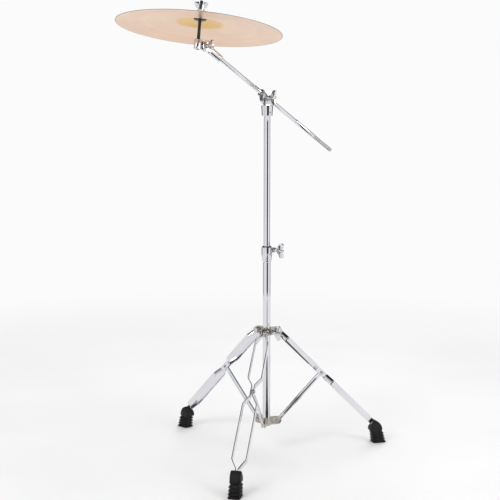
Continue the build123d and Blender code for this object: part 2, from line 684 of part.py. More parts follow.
# ---------------------------------------------------------------- tilter
stem_side = tilter_axis.cross(stem_dir).normalized()
tilter_pivot = boom_origin + boom_dir * TILTER_PIVOT + boom_up * TILTER_RISE
tilter_plane = Plane(origin=tilter_pivot, x_dir=boom_dir * -1, z_dir=tilter_axis)
TILTER_FACE = RATCHET_GAP / 2 + TILTER_DISC_T
with BuildPart() as tilter_socket:
    with BuildSketch(boom_plane(TILTER_SOCKET)):
        Circle(8.6)
    with BuildSketch(boom_plane(TILTER_PIVOT - 14.3)):
        Circle(9.4)
    loft()
    chamfer(tilter_socket.edges().filter_by(GeomType.CIRCLE), 0.8)
    with BuildSketch(tilter_plane.offset(RATCHET_GAP / 2)):
        Circle(TILTER_DISC_D / 2)
        with Locations((11, 0)):
            Rectangle(10, 17)
    extrude(amount=TILTER_DISC_T)
    with BuildSketch(boom_plane(TILTER_SOCKET)):
        Circle(BOOM_D / 2)
    extrude(amount=BOOM_FRONT_END - TILTER_SOCKET, mode=Mode.SUBTRACT)
    with Locations(tilter_plane):
        Cylinder(3 + RUNNING, 60, mode=Mode.SUBTRACT)
    with Locations(socket_pin_plane):
        Cylinder(SOCKET_PIN_R, 40, mode=Mode.SUBTRACT)
    ratchet_notches(tilter_plane.offset(RATCHET_GAP / 2), TILTER_DISC_D / 2 - 0.9, 32)
save(tilter_socket.part, "tilter_socket")

with BuildPart() as tilter_socket_pin:
    with BuildSketch(socket_pin_plane.offset(-8.4)):
        Circle(SOCKET_PIN_R)
    extrude(amount=16.8)
save(tilter_socket_pin.part, "tilter_socket_pin")

holder_centre = tilter_pivot + stem_side * STEM_OUT
stem_plane = Plane(origin=holder_centre, x_dir=stem_side, z_dir=stem_dir)
with BuildPart() as tilter_head:
    with BuildSketch(stem_plane.offset(-HOLDER_HEIGHT / 2)):
        Circle(HOLDER_D / 2)
    extrude(amount=HOLDER_HEIGHT)
    chamfer(tilter_head.edges().filter_by(GeomType.CIRCLE), 0.8)
    with BuildSketch(tilter_plane.offset(-RATCHET_GAP / 2)):
        Circle(TILTER_DISC_D / 2)
    extrude(amount=-TILTER_DISC_T)
    with BuildSketch(Plane(origin=tilter_pivot, x_dir=stem_side,
                           z_dir=tilter_axis).offset(-RATCHET_GAP / 2)):
        with Locations((STEM_OUT / 2, 0)):
            Rectangle(STEM_OUT, 20)
    extrude(amount=-TILTER_DISC_T)
    with BuildSketch(stem_plane.offset(-HOLDER_HEIGHT)):
        Circle(STEM_D / 2)
    extrude(amount=2 * HOLDER_HEIGHT, mode=Mode.SUBTRACT)
    with Locations(tilter_plane):
        Cylinder(3, 60, mode=Mode.SUBTRACT)
    ratchet_notches(tilter_plane.offset(-RATCHET_GAP / 2), TILTER_DISC_D / 2 - 0.9, 32)
save(tilter_head.part, "tilter_head")

with BuildPart() as tilter_bolt:
    with BuildSketch(tilter_plane.offset(-RATCHET_GAP / 2 - TILTER_DISC_T)):
        RegularPolygon(5, 6, major_radius=False)
    extrude(amount=-3.5)
    with BuildSketch(tilter_plane.offset(-RATCHET_GAP / 2 - TILTER_DISC_T)):
        Circle(3)
    extrude(amount=2 * TILTER_FACE + 11)
save(tilter_bolt.part, "tilter_bolt")

save(wing_nut(Plane(origin=tilter_pivot, x_dir=stem_side * -1,
                    z_dir=tilter_axis).offset(TILTER_FACE + 0.5), 25, 25, 6.0, 11.5), "tilter_wing_nut")

# ---------------------------------------------------------------- stem and its fittings
rim_plane = stem_plane.offset(RIM_ABOVE_PIVOT)
with BuildPart() as stem:
    with BuildSketch(stem_plane.offset(-HOLDER_HEIGHT / 2 - 0.5)):
        Circle(STEM_D / 2)
    extrude(amount=HOLDER_HEIGHT / 2 + 0.5 + RIM_ABOVE_PIVOT + STEM_TOP)
    chamfer(stem.edges().filter_by(GeomType.CIRCLE).group_by(Axis(holder_centre, stem_dir))[-1], 0.8)
save(stem.part, "stem")

cup_plane = rim_plane.offset(CUP_BASE)
with BuildPart() as cup_washer:
    with BuildSketch(Plane(origin=cup_plane.origin, x_dir=stem_side, z_dir=tilter_axis * -1)):
        with BuildLine():
            Polyline((STEM_D / 2, 0), (11, 0), (CUP_D / 2 - 1, 1.6), (CUP_D / 2, 3.2), (CUP_D / 2, 4.4),
                     (CUP_D / 2 - 1.2, 4.4), (CUP_D / 2 - 2.2, CUP_T), (STEM_D / 2, CUP_T), close=True)
        make_face()
    revolve(axis=Axis(cup_plane.origin, stem_dir))
save(cup_washer.part, "cup_washer")

FELT_BASE = CUP_BASE + CUP_T + 0.3
with BuildPart() as stem_sleeve:
    with BuildSketch(rim_plane.offset(FELT_BASE)):
        Circle(SLEEVE_R)
        Circle(STEM_D / 2 + 0.1, mode=Mode.SUBTRACT)
    extrude(amount=CYMBAL_HEIGHT + UPPER_FELT_T - FELT_BASE)
save(stem_sleeve.part, "stem_sleeve")

HOLE_UNDERSIDE = CYMBAL_HEIGHT - CYMBAL_T
with BuildPart() as lower_felt:
    with BuildSketch(rim_plane.offset(FELT_BASE)):
        Circle(FELT_D / 2)
        Circle(SLEEVE_R, mode=Mode.SUBTRACT)
    extrude(amount=HOLE_UNDERSIDE - 1.6 - FELT_BASE)
save(lower_felt.part, "lower_felt")

with BuildPart() as upper_felt:
    with BuildSketch(rim_plane.offset(CYMBAL_HEIGHT + 0.3)):
        Circle(FELT_D / 2)
        Circle(SLEEVE_R, mode=Mode.SUBTRACT)
    extrude(amount=UPPER_FELT_T - 0.6)
save(upper_felt.part, "upper_felt")

nut_seat = CYMBAL_HEIGHT + UPPER_FELT_T + 0.3
with BuildPart() as top_washer:
    with BuildSketch(rim_plane.offset(nut_seat)):
        Circle(10)
        Circle(STEM_D / 2, mode=Mode.SUBTRACT)
    extrude(amount=1.2)
save(top_washer.part, "top_washer")

# Wing nut on top: an open nut whose wings flare up and outwards
view_side = Vector(1, 0, 0)
nut_x = stem_dir.cross(view_side.cross(stem_dir)).normalized()
top_nut_plane = Plane(origin=rim_plane.origin + stem_dir * (nut_seat + 1.5),
                      x_dir=stem_dir.cross(nut_x), z_dir=stem_dir)
nut_profile = Plane(origin=top_nut_plane.origin, x_dir=nut_x, z_dir=nut_x.cross(stem_dir))
with BuildPart() as cymbal_wing_nut:
    with BuildSketch(top_nut_plane):
        Circle(7.5)
    with BuildSketch(top_nut_plane.offset(13)):
        Circle(5.6)
    loft()
    for hand in (1, -1):
        with BuildSketch(nut_profile) as wing:
            Polygon((hand * 4.6, 1.0), (hand * 7, 1.0), (hand * 14.5, 8), (hand * 17.5, 18),
                    (hand * 6.2, 19), (hand * 4.6, 13), align=None)
            far = wing.vertices().sort_by(Axis.X if hand > 0 else -Axis.X)[-2:]
            fillet(far, 1.6)
        extrude(amount=1.9, both=True)
    with BuildSketch(top_nut_plane):
        Circle(STEM_D / 2 + RUNNING)
    extrude(amount=30, mode=Mode.SUBTRACT)
save(cymbal_wing_nut.part, "cymbal_wing_nut")

# ---------------------------------------------------------------- cymbal
with BuildPart() as cymbal:
    with BuildSketch(Plane(origin=rim_plane.origin, x_dir=stem_side, z_dir=tilter_axis * -1)) as section:
        bow_mid = ((BELL_R + CYMBAL_R) / 2, BELL_BASE / 2 + 2.4)
        with BuildLine():
            ThreePointArc((HOLE_R, CYMBAL_HEIGHT), (34, 30.9), (BELL_R, BELL_BASE))
            ThreePointArc((BELL_R, BELL_BASE), bow_mid, (CYMBAL_R, CYMBAL_T))
            Line((CYMBAL_R, CYMBAL_T), (CYMBAL_R, 0))
            ThreePointArc((CYMBAL_R, 0), (bow_mid[0], bow_mid[1] - CYMBAL_T), (BELL_R - 0.6, BELL_BASE - CYMBAL_T))
            ThreePointArc((BELL_R - 0.6, BELL_BASE - CYMBAL_T), (33.4, 29.8), (HOLE_R, HOLE_UNDERSIDE))
            Line((HOLE_R, HOLE_UNDERSIDE), (HOLE_R, CYMBAL_HEIGHT))
        make_face()
        base = section.vertices().filter_by(lambda v: abs(v.X - BELL_R) < 1)
        fillet(base, 6)
    revolve(axis=Axis(rim_plane.origin, stem_dir))
save(cymbal.part, "cymbal")
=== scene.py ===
"""Looks of the crash cymbal on its boom stand, in metres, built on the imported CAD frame."""
import json
import math

import bmesh
import bpy
from mathutils import Matrix, Vector, noise


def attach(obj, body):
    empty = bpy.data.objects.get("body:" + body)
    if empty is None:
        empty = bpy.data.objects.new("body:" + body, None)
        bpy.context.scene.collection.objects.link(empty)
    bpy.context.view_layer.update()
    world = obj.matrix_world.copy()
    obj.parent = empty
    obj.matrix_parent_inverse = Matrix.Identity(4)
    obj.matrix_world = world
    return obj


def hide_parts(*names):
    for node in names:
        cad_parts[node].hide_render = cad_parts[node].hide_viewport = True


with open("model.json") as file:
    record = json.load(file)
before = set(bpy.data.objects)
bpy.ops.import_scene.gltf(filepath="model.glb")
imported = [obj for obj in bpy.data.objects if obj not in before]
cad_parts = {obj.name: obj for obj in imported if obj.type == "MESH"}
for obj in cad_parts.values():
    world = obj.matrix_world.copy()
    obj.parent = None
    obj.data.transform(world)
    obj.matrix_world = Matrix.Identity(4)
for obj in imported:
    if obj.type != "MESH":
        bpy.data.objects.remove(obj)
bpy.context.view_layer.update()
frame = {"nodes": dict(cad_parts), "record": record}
MM = 0.001
joint = {j["name"]: j for j in frame["record"]["behaviour"]["joints"]}
body_of_node = {n: b for b, ns in frame["record"]["behaviour"]["bodies"].items() for n in ns}
slot_of_node = {s["node"]: s["material_slot"] for s in frame["record"]["subparts"]}


# ---------------------------------------------------------------- materials
def tree(name):
    """Empty node material with a Principled shader; returns it, a node maker and a linker."""
    mat = bpy.data.materials.new(name)
    mat.use_nodes = True
    nt = mat.node_tree
    nt.nodes.clear()
    out = nt.nodes.new("ShaderNodeOutputMaterial")
    shader = nt.nodes.new("ShaderNodeBsdfPrincipled")
    nt.links.new(shader.outputs[0], out.inputs[0])

    def make(kind, **settings):
        node = nt.nodes.new(kind)
        for key, value in settings.items():
            setattr(node, key, value)
        return node

    return mat, shader, make, nt.links.new


def noise_tex(make, link, vector, scale, detail=3.0, rough=0.5):
    """Noise texture on a vector."""
    tex = make("ShaderNodeTexNoise")
    tex.inputs["Scale"].default_value = scale
    tex.inputs["Detail"].default_value = detail
    tex.inputs["Roughness"].default_value = rough
    link(vector, tex.inputs["Vector"])
    return tex.outputs["Fac"]


def ramp(make, link, factor, dark, light, low=0.3, high=0.7):
    """Two-colour ramp on a factor."""
    node = make("ShaderNodeValToRGB")
    node.color_ramp.elements[0].position = low
    node.color_ramp.elements[1].position = high
    node.color_ramp.elements[0].color = (*dark, 1)
    node.color_ramp.elements[1].color = (*light, 1)
    link(factor, node.inputs[0])
    return node.outputs[0]


def spread(make, link, factor, low, high):
    """Factor mapped to a range of numbers."""
    node = make("ShaderNodeMapRange")
    node.inputs["To Min"].default_value = low
    node.inputs["To Max"].default_value = high
    link(factor, node.inputs["Value"])
    return node.outputs[0]


def bump(make, link, height, strength, distance, normal=None):
    """Bump node, optionally on top of another."""
    node = make("ShaderNodeBump")
    node.inputs["Strength"].default_value = strength
    node.inputs["Distance"].default_value = distance
    link(height, node.inputs["Height"])
    if normal is not None:
        link(normal, node.inputs["Normal"])
    return node.outputs[0]


def varied(name, dark, light, rough, metallic, scale, fine, fine_strength, sheen=0.0):
    """Material whose colour, roughness and surface all vary a little over the piece."""
    mat, shader, make, link = tree(name)
    where = make("ShaderNodeTexCoord").outputs["Object"]
    broad = noise_tex(make, link, where, scale, 4.0, 0.6)
    grain = noise_tex(make, link, where, fine, 2.0, 0.5)
    link(ramp(make, link, broad, dark, light), shader.inputs["Base Color"])
    link(spread(make, link, broad, *rough), shader.inputs["Roughness"])
    link(bump(make, link, grain, fine_strength, 0.0004), shader.inputs["Normal"])
    shader.inputs["Metallic"].default_value = metallic
    shader.inputs["Sheen Weight"].default_value = sheen
    return mat


# radii in metres over which the cymbal's colour changes
BELL_FADE, RIM_FADE = (0.050, 0.070), (0.2010, 0.2028)
RIM_BRONZE = (0.22, 0.15, 0.12, 1)


def cymbal_bronze():
    """Lathed bronze: rings about the cymbal's own axis, hammer marks and a warm tint."""
    mat, shader, make, link = tree("lathed_bronze")
    where = make("ShaderNodeTexCoord").outputs["Object"]
    flat = make("ShaderNodeVectorMath", operation="MULTIPLY")
    flat.inputs[1].default_value = (1, 1, 0)
    link(where, flat.inputs[0])
    radius = make("ShaderNodeVectorMath", operation="LENGTH")
    link(flat.outputs[0], radius.inputs[0])
    line = make("ShaderNodeCombineXYZ")
    link(radius.outputs["Value"], line.inputs[0])
    coarse = noise_tex(make, link, line.outputs[0], 260, 2.0, 0.6)
    rings = noise_tex(make, link, line.outputs[0], 1300, 3.0, 0.7)
    bands = noise_tex(make, link, line.outputs[0], 42, 3.0, 0.6)
    blotch = noise_tex(make, link, where, 9, 4.0, 0.6)
    hammer = noise_tex(make, link, where, 55, 1.0, 0.4)
    tone = make("ShaderNodeMath", operation="ADD")
    link(bands, tone.inputs[0])
    link(blotch, tone.inputs[1])
    half = make("ShaderNodeMath", operation="MULTIPLY")
    half.inputs[1].default_value = 0.5
    link(tone.outputs[0], half.inputs[0])
    body = ramp(make, link, half.outputs[0], (0.76, 0.53, 0.37), (0.86, 0.64, 0.49), 0.35, 0.65)
    bell = ramp(make, link, half.outputs[0], (0.76, 0.50, 0.22), (0.88, 0.63, 0.32), 0.35, 0.65)
    # the bell is yellower than the bow, and the edge has a dark line
    edge = make("ShaderNodeMapRange")
    edge.inputs["From Min"].default_value, edge.inputs["From Max"].default_value = BELL_FADE
    link(radius.outputs["Value"], edge.inputs["Value"])
    mix = make("ShaderNodeMix", data_type="RGBA")
    link(edge.outputs[0], mix.inputs["Factor"])
    link(bell, mix.inputs["A"])
    link(body, mix.inputs["B"])
    rim_line = make("ShaderNodeMapRange")
    rim_line.inputs["From Min"].default_value, rim_line.inputs["From Max"].default_value = RIM_FADE
    link(radius.outputs["Value"], rim_line.inputs["Value"])
    whole = make("ShaderNodeMix", data_type="RGBA")
    whole.inputs["B"].default_value = RIM_BRONZE
    link(rim_line.outputs[0], whole.inputs["Factor"])
    link(mix.outputs["Result"], whole.inputs["A"])
    link(whole.outputs["Result"], shader.inputs["Base Color"])
    link(spread(make, link, coarse, 0.24, 0.40), shader.inputs["Roughness"])
    dents = bump(make, link, hammer, 0.10, 0.0015)
    grooves = bump(make, link, coarse, 0.16, 0.0004, dents)
    link(bump(make, link, rings, 0.22, 0.0002, grooves), shader.inputs["Normal"])
    shader.inputs["Metallic"].default_value = 1.0
    return mat


# one look for each material slot: colours, roughness, metal, then the scales of its mottle and grain
LOOK = {
    "chrome": varied("chrome_tube", (0.70, 0.70, 0.74), (0.80, 0.80, 0.83), (0.02, 0.05),
                     1, 6, 700, 0.0004),
    "cast_chrome": varied("chrome_cast", (0.66, 0.66, 0.69), (0.78, 0.78, 0.80), (0.05, 0.13),
                          1, 40, 260, 0.05),
    "hub_metal": varied("nickel_pressing", (0.42, 0.39, 0.35), (0.58, 0.55, 0.50), (0.20, 0.36),
                        1, 45, 500, 0.12),
    "fasteners": varied("plated_steel", (0.48, 0.48, 0.49), (0.66, 0.66, 0.67), (0.16, 0.32),
                        1, 60, 700, 0.10),
    "knurled_steel": varied("knurled_steel", (0.40, 0.40, 0.42), (0.60, 0.60, 0.62), (0.22, 0.38),
                            1, 70, 900, 0.08),
    "black_nylon": varied("black_nylon", (0.010, 0.010, 0.011), (0.028, 0.028, 0.030), (0.38, 0.52),
                          0, 60, 900, 0.10),
    "rubber": varied("black_rubber", (0.004, 0.0035, 0.0035), (0.013, 0.012, 0.012), (0.40, 0.60),
                     0, 50, 700, 0.20),
    "felt": varied("cream_felt", (0.52, 0.46, 0.34), (0.80, 0.75, 0.63), (0.9, 1.0),
                   0, 240, 1500, 0.9, sheen=0.5),
    "bronze": cymbal_bronze(),
    # near-black colour for the stem and cup washer
    "black_steel": varied("near_black_steel", (0.035, 0.035, 0.037), (0.075, 0.075, 0.078), (0.16, 0.30),
                          1, 60, 700, 0.08),
}
LOOK["rubber"].node_tree.nodes["Principled BSDF"].inputs["Specular IOR Level"].default_value = 0.25

# ---------------------------------------------------------------- shapes
shaped = set()


def place(name, mesh, node):
    """Object from a mesh, in the look of the node it stands for."""
    shaped.add(node)
    obj = bpy.data.objects.new(name, mesh)
    bpy.context.scene.collection.objects.link(obj)
    mesh.materials.append(LOOK[slot_of_node[node]])
    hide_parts(node)
    return obj


def smoothed(mesh, angle=38):
    """Smooth shading with sharp edges over an angle."""
    for poly in mesh.polygons:
        poly.use_smooth = True
    mesh.set_sharp_from_angle(angle=math.radians(angle))
    return mesh


def eased(node, width=0.4, segments=2, angle=32):
    """The CAD node's own shape with its edges eased, as plating and pressing leave them."""
    source = frame["nodes"][node]
    bm = bmesh.new()
    bm.from_mesh(source.data)
    bm.transform(source.matrix_world)
    bmesh.ops.remove_doubles(bm, verts=bm.verts, dist=2e-6)
    bmesh.ops.dissolve_limit(bm, angle_limit=math.radians(0.4), verts=bm.verts, edges=bm.edges)
    sharp = [e for e in bm.edges if e.is_manifold and e.calc_face_angle(0) > math.radians(angle)]
    bmesh.ops.bevel(bm, geom=sharp, offset=width * MM, segments=segments, profile=0.6,
                    affect="EDGES", clamp_overlap=True)
    mesh = bpy.data.meshes.new(node + "_look")
    bm.to_mesh(mesh)
    bm.free()
    obj = place(node + "_look", smoothed(mesh), node)
    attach(obj, body_of_node[node])
    return obj


def axis_frame(origin, axis):
    """Matrix whose local +Z is the axis, at the origin."""
    z = Vector(axis).normalized()
    x = z.orthogonal().normalized()
    matrix = Matrix((x, z.cross(x), z)).transposed().to_4x4()
    matrix.translation = Vector(origin)
    return matrix


def turned(node, profile, origin, axis, around=96, shape=None, angle=38):
    """Closed profile of (radius, height) in mm turned about an axis; shape(r, h, turn) may move a point."""
    verts, faces = [], []
    count = len(profile)
    for step in range(around):
        turn = 2 * math.pi * step / around
        for r, h in profile:
            if shape:
                r, h = shape(r, h, turn)
            verts.append((r * MM * math.cos(turn), r * MM * math.sin(turn), h * MM))
    for step in range(around):
        here, there = step * count, (step + 1) % around * count
        for k in range(count):
            n = (k + 1) % count
            faces.append((here + k, there + k, there + n, here + n))
    mesh = bpy.data.meshes.new(node + "_look")
    mesh.from_pydata(verts, [], faces)
    bm = bmesh.new()
    bm.from_mesh(mesh)
    bmesh.ops.recalc_face_normals(bm, faces=bm.faces)
    bm.to_mesh(mesh)
    bm.free()
    obj = place(node + "_look", smoothed(mesh, angle), node)
    obj.matrix_world = axis_frame(origin, axis)
    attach(obj, body_of_node[node])
    return obj


def arc(a, b, c, steps):
    """Points on the circle through three (radius, height) points, from a to c."""
    ax, ay, bx, by, cx, cy = *a, *b, *c
    d = 2 * (ax * (by - cy) + bx * (cy - ay) + cx * (ay - by))
    a2, b2, c2 = ax * ax + ay * ay, bx * bx + by * by, cx * cx + cy * cy
    ox = (a2 * (by - cy) + b2 * (cy - ay) + c2 * (ay - by)) / d
    oy = (a2 * (cx - bx) + b2 * (ax - cx) + c2 * (bx - ax)) / d
    r = math.hypot(ax - ox, ay - oy)
    start, end = math.atan2(ay - oy, ax - ox), math.atan2(cy - oy, cx - ox)
    return [(ox + r * math.cos(start + (end - start) * k / steps),
             oy + r * math.sin(start + (end - start) * k / steps)) for k in range(steps + 1)]


# ---------------------------------------------------------------- tubes
MAST_BASE = (*joint["mast_turn"]["pos_m"][:2], 0.0)
UP = (0, 0, 1)
boom_dir = Vector(joint["boom_turn"]["axis"])
boom_mid = Vector(joint["boom_turn"]["pos_m"])
stem_dir = Vector(joint["cymbal_spin"]["axis"])
# mm along the stem from the plane of the cymbal's edge
HOLE_UNDERSIDE, HOLE_TOP = 34.9, 36.0
rim = Vector(joint["cymbal_spin"]["pos_m"]) - stem_dir * HOLE_UNDERSIDE * MM


def pipe(outer, inner, low, high, ease=0.4):
    """Profile of a plain tube with eased ends."""
    return [(inner, low + ease), (inner, high - ease), (inner + ease, high), (outer - ease, high),
            (outer, high - ease), (outer, low + ease), (outer - ease, low), (inner + ease, low)]


# outer radius, inner radius, lower end and upper end in mm
BASE_TUBE, MAST_TUBE = (10.0, 8.8, 75.5, 524.0), (8.5, 7.3, 345.0, 905.0)
turned("base_tube", pipe(*BASE_TUBE), MAST_BASE, UP)
turned("mast_tube", pipe(*MAST_TUBE), MAST_BASE, UP)

BOOM_OUTER, BOOM_INNER, BOOM_FAR, BOOM_NEAR = 5.5, 4.3, 183.0, -181.5
ROLLED_GROOVES, GROOVE_DEPTH, GROOVE_HALF, GROOVE_STEPS = (40.5, -111.0), 0.85, 1.7, 6
boom_profile = [(BOOM_INNER, BOOM_NEAR), (BOOM_INNER, BOOM_FAR), (BOOM_OUTER - 0.3, BOOM_FAR),
                (BOOM_OUTER, BOOM_FAR - 0.3)]
for groove in ROLLED_GROOVES:
    for step in range(-GROOVE_STEPS, GROOVE_STEPS + 1):
        across = step / GROOVE_STEPS
        depth = GROOVE_DEPTH * math.cos(across * math.pi / 2)
        boom_profile.append((BOOM_OUTER - depth, groove - across * GROOVE_HALF))
boom_profile += [(BOOM_OUTER, BOOM_NEAR + 0.9), (BOOM_OUTER - 0.9, BOOM_NEAR)]
turned("boom_tube", boom_profile, boom_mid, boom_dir)

KNURL_R, KNURL_TURNS, KNURL_DEPTH, KNURL_STEP = 4.75, 13, 0.3, 0.25
KNURL_FAR, KNURL_NEAR = -248.0, BOOM_NEAR


def knurl(r, h, turn):
    """Diamond knurl with plain ends."""
    if r < KNURL_R - 0.01 or h < KNURL_FAR + 3 or h > KNURL_NEAR - 2:
        return r, h
    slope = KNURL_TURNS / KNURL_R
    a = abs(math.sin(0.5 * (KNURL_TURNS * 2 * turn + slope * h)))
    b = abs(math.sin(0.5 * (KNURL_TURNS * 2 * turn - slope * h)))
    return r - KNURL_DEPTH * (1 - min(a, b) ** 0.6 if min(a, b) > 0 else 1), h


knurl_steps = int((KNURL_NEAR - KNURL_FAR - 1) / KNURL_STEP)
side = [(KNURL_R, KNURL_NEAR - KNURL_STEP * k) for k in range(knurl_steps)]
turned("boom_grip_end", [(0.01, KNURL_NEAR), *side, (KNURL_R - 1, KNURL_FAR), (0.01, KNURL_FAR)],
       boom_mid, boom_dir, around=208, shape=knurl, angle=60)

# Stem: plain shank, then a rolled thread up to a chamfered end
THREAD_FROM, THREAD_PITCH, THREAD_DEPTH, THREAD_STEP = 47.5, 1.25, 0.42, 0.12
STEM_R, STEM_LOW, STEM_END, STEM_CHAMFER = 4.0, -35.8 - 12.5, 70.0, 0.9


def thread(r, h, turn):
    """Rounded screw thread on the top of the stem."""
    if h < THREAD_FROM or h > STEM_END - STEM_CHAMFER or r < STEM_R - 0.1:
        return r, h
    wave = 0.5 + 0.5 * math.cos(2 * math.pi * h / THREAD_PITCH - turn)
    return r - THREAD_DEPTH * wave, h


thread_steps = int((STEM_END - STEM_CHAMFER - THREAD_FROM) / THREAD_STEP)
shank = [(STEM_R, STEM_LOW + 0.4), (STEM_R, THREAD_FROM)]
shank += [(STEM_R, THREAD_FROM + THREAD_STEP * k) for k in range(1, thread_steps + 1)]
stem_profile = [(0.01, STEM_LOW), (STEM_R - 0.4, STEM_LOW), *shank,
                (STEM_R - 0.8, STEM_END), (0.01, STEM_END)]
turned("stem", stem_profile, rim, stem_dir, around=64, shape=thread, angle=60)

# ---------------------------------------------------------------- cymbal and felts
HOLE_R, BELL, EDGE_R, THICK = 5.6, (58.0, 16.0), 203.2, 1.1
top = arc((HOLE_R, HOLE_TOP), (34.0, 30.9), BELL, 40)[:-3]
top += [(57.2, 16.9), (58.4, 16.1), (60.2, 15.75)]
top += arc(BELL, (130.6, 10.4), (EDGE_R, THICK), 110)[3:-1]
under = [(EDGE_R - 0.25, 0.0)] + arc((EDGE_R, 0.0), (130.6, 9.3), (57.4, 14.9), 110)[1:-3]
under += [(59.8, 14.65), (58.0, 15.0), (56.6, 15.9)]
under += arc((57.4, 14.9), (33.4, 29.8), (HOLE_R, HOLE_UNDERSIDE), 40)[3:]
turned("cymbal", top + [(EDGE_R, THICK - 0.3), (EDGE_R, 0.3)] + under, rim, stem_dir, around=256, angle=50)


def felt(node, low, high, radius, seed):
    """Pressed felt washer: rounded, a little uneven and hairy at the rim."""
    inner, ease = 5.2, 1.6
    profile = [(inner, low + 0.5), (inner, high - 0.5)]
    profile += [(inner + 0.6 + (radius - inner - ease) * k / 10, high) for k in range(10)]
    profile += [(radius - ease + ease * math.sin(t), high - ease + ease * math.cos(t))
                for t in (k * math.pi / 12 for k in range(7))]
    profile += [(radius, high - ease - (high - low - 2 * ease) * k / 8) for k in range(1, 8)]
    profile += [(radius - ease + ease * math.cos(t), low + ease - ease * math.sin(t))
                for t in (k * math.pi / 12 for k in range(7))]
    profile += [(radius - ease - (radius - inner - ease) * k / 10, low) for k in range(1, 10)]

    def shape(r, h, turn):
        if r < inner + 0.3:
            return r, h
        spot = Vector((r * math.cos(turn), r * math.sin(turn), h + seed))
        fuzz = 0.28 * noise.noise(spot * 0.9) + 0.12 * noise.noise(spot * 3.1) - 0.3
        scale = 1 + fuzz / r
        return r * scale, h + 0.15 * noise.noise(spot * 0.7 + Vector((9, 0, 0)))

    turned(node, profile, rim, stem_dir, around=144, shape=shape, angle=80)


FELT_R = 13.0
felt("lower_felt", 24.0 + 0.15, 33.3 - 0.05, FELT_R, 3.0)
felt("upper_felt", 36.3 + 0.15, 45.7 - 0.15, FELT_R, 17.0)

# ---------------------------------------------------------------- rubber feet
FIN_PITCH, FINS, FOOT_MIDDLE = 8.0, 4, 319.0
# the lowest fin's length and the waist's above it, and what each loses from one fin to the next
FIN_LENGTH, FIN_SHORTER, WAIST_LENGTH, WAIST_SHORTER = 38.0, 1.3, 27.5, 0.4
FIN_LEAN, FIN_NARROWER = 1.5, 0.4
# the block on the leg: height, inner end, outer end and width
BLOCK = [(33.0, 293.2, 327.0, 26.0), (33.8, 292.2, 327.9, 27.0), (41.0, 292.6, 327.0, 27.0),
         (43.0, 293.6, 326.2, 27.0), (48.0, 297.9, 323.8, 27.0), (52.0, 301.5, 320.8, 27.0),
         (55.0, 304.2, 317.7, 26.8), (57.5, 306.5, 314.0, 26.2), (59.0, 307.8, 311.0, 25.2),
         (59.6, 308.4, 309.8, 24.0)]


def foot_levels():
    """(height, inner end, outer end, width) in mm up the foot: the flaring fins, then the block."""
    levels = []
    for fin in range(FINS):
        wide, narrow = FIN_LENGTH - FIN_SHORTER * fin, WAIST_LENGTH - WAIST_SHORTER * fin
        outline = ((0.0, wide - 0.6, 30.4), (0.5, wide, 31.0), (1.3, wide, 31.0), (1.9, wide - 0.8, 30.0),
                   (5.8, narrow + 1.5, 22.5), (6.8, narrow, 21.5), (7.5, narrow, 21.5))
        for up, length, width in outline:
            middle = FOOT_MIDDLE - FIN_LEAN * fin - up * 0.19
            levels.append((fin * FIN_PITCH + up, middle - length / 2, middle + length / 2,
                           width - FIN_NARROWER * fin))
    return levels + BLOCK


def foot(node, leg):
    """Finned rubber boot on a leg's end."""
    side = Vector(joint[leg]["axis"])
    out = side.cross(Vector(UP))
    ring, verts, faces = 48, [], []
    for z, inner, outer, width in foot_levels():
        half, wide = (outer - inner) / 2, width / 2
        for k in range(ring):
            t = 2 * math.pi * k / ring
            c, n = math.cos(t), math.sin(t)
            squared = (abs(c) ** 6 + abs(n) ** 6) ** (-1 / 6)
            spot = out * ((inner + outer) / 2 + half * c * squared) + side * (wide * n * squared)
            verts.append(Vector(MAST_BASE) + spot * MM + Vector((0, 0, z * MM)))
    rows = len(verts) // ring
    for row in range(rows - 1):
        for k in range(ring):
            n = (k + 1) % ring
            faces.append((row * ring + k, row * ring + n, (row + 1) * ring + n, (row + 1) * ring + k))
    faces += [tuple(reversed(range(ring))), tuple(range((rows - 1) * ring, rows * ring))]
    mesh = bpy.data.meshes.new(node + "_look")
    mesh.from_pydata(verts, [], faces)
    obj = place(node + "_look", smoothed(mesh, 35), node)
    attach(obj, body_of_node[node])


for leg in ("right", "left", "front"):
    foot(f"foot_{leg}", f"leg_{leg}_hinge")

# ---------------------------------------------------------------- the other pieces keep their CAD shape
# mm of rounding on their edges
WIDTHS = {"cast_chrome": 0.7, "chrome": 0.35, "hub_metal": 0.45, "fasteners": 0.3,
          "black_nylon": 0.25, "black_steel": 0.25}
for node in frame["nodes"]:
    if node not in shaped:
        eased(node, WIDTHS[slot_of_node[node]], 3 if slot_of_node[node] == "cast_chrome" else 2)

# ---------------------------------------------------------------- studio
PALE = 0.965


def slab(name, size, location, look, rotation=(0, 0, 0)):
    """Flat card that isn't part of the object."""
    bpy.ops.mesh.primitive_plane_add(size=1, location=location, rotation=rotation)
    obj = bpy.context.object
    obj.name = name
    obj.data.transform(Matrix.Diagonal((*size, 1, 1)))
    obj.data.materials.append(look)
    return obj


def show(mat, link, surface):
    """Surface of a material other than its plain Principled shader."""
    out = next(n for n in mat.node_tree.nodes if n.type == "OUTPUT_MATERIAL")
    link(surface, out.inputs[0])


def glow_card():
    """Evenly lit white card with a faint mottle."""
    mat, shader, make, link = tree("lit_card")
    where = make("ShaderNodeTexCoord").outputs["Object"]
    glow = make("ShaderNodeEmission")
    tone = noise_tex(make, link, where, 3, 3.0, 0.5)
    link(ramp(make, link, tone, (0.92, 0.92, 0.92), (PALE, PALE, PALE)), glow.inputs["Color"])
    show(mat, link, glow.outputs[0])
    return mat


# metres from the stand over which the paper turns white
PAPER_FADE = (0.7, 2.6)


